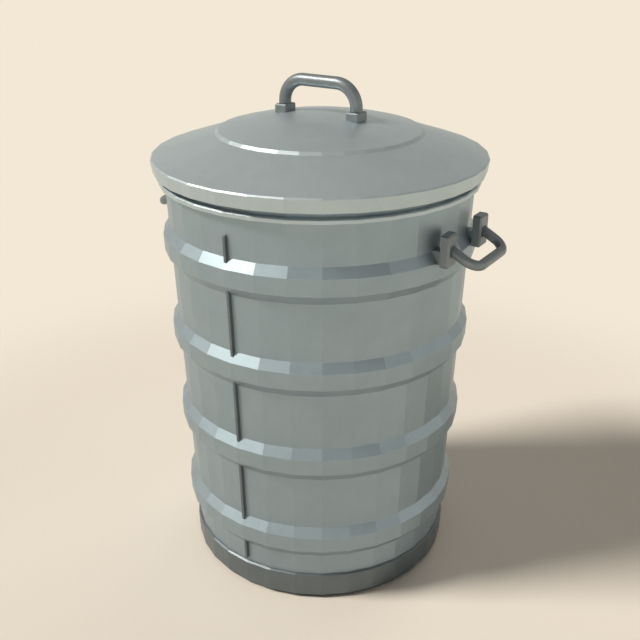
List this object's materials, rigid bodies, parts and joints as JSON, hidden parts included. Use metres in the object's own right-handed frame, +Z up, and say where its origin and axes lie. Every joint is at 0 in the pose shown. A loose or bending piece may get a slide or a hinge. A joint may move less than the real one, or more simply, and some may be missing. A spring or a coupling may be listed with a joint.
{
  "type": "trash can",
  "caption": "Tapered ribbed sheet-steel trash can with rolled rim, dark base ring, drooping bar handles on lugs and a hemmed, domed lift-off lid with a bar grip.",
  "frame": {"origin": "middle of the base ring's underside, on the floor", "axes": "+Z up along the can's axis; the side handles stand at +X and -X, the seam strips at -Y, and the lid's handle runs along X"},
  "size_m": [0.5484, 0.4726, 0.7301],
  "materials": {
    "galvanised_sheet": "dull galvanised zinc",
    "pale_galvanised_sheet": "dull galvanised zinc, paler than the wall",
    "dark_banding_steel": "darkened galvanised steel",
    "dark_handle_steel": "dark, lightly worn steel",
    "zinc_hardware": "bright zinc plate",
    "plain_wire": "plain drawn wire"
  },
  "bodies": {
    "can": {"body_shell": "galvanised_sheet", "rim_wire": "plain_wire", "rim_hoop": "pale_galvanised_sheet", "bottom_pan": "galvanised_sheet", "base_ring": "dark_banding_steel", "seam_strip_1": "dark_banding_steel", "seam_strip_2": "dark_banding_steel", "seam_strip_3": "dark_banding_steel", "seam_strip_4": "dark_banding_steel", "seam_strip_5": "dark_banding_steel", "right_front_lug": "dark_handle_steel", "right_rear_lug": "dark_handle_steel", "right_handle_bar": "dark_handle_steel", "right_handle_screws": "zinc_hardware", "right_wedge_washers": "zinc_hardware", "left_front_lug": "dark_handle_steel", "left_rear_lug": "dark_handle_steel", "left_handle_bar": "dark_handle_steel", "left_handle_screws": "zinc_hardware", "left_wedge_washers": "zinc_hardware"},
    "lid": {"lid_shell": "pale_galvanised_sheet", "lid_hem_wire": "plain_wire", "lid_left_boss": "dark_handle_steel", "lid_right_boss": "dark_handle_steel", "lid_handle_bar": "dark_handle_steel", "lid_handle_screws": "zinc_hardware", "lid_handle_washers": "zinc_hardware"}
  },
  "joints": [
    {"name": "lid_lift", "type": "slide", "parent": "can", "child": "lid", "axis": [0, 0, 1], "range_m": [0, 0.25]}
  ]
}
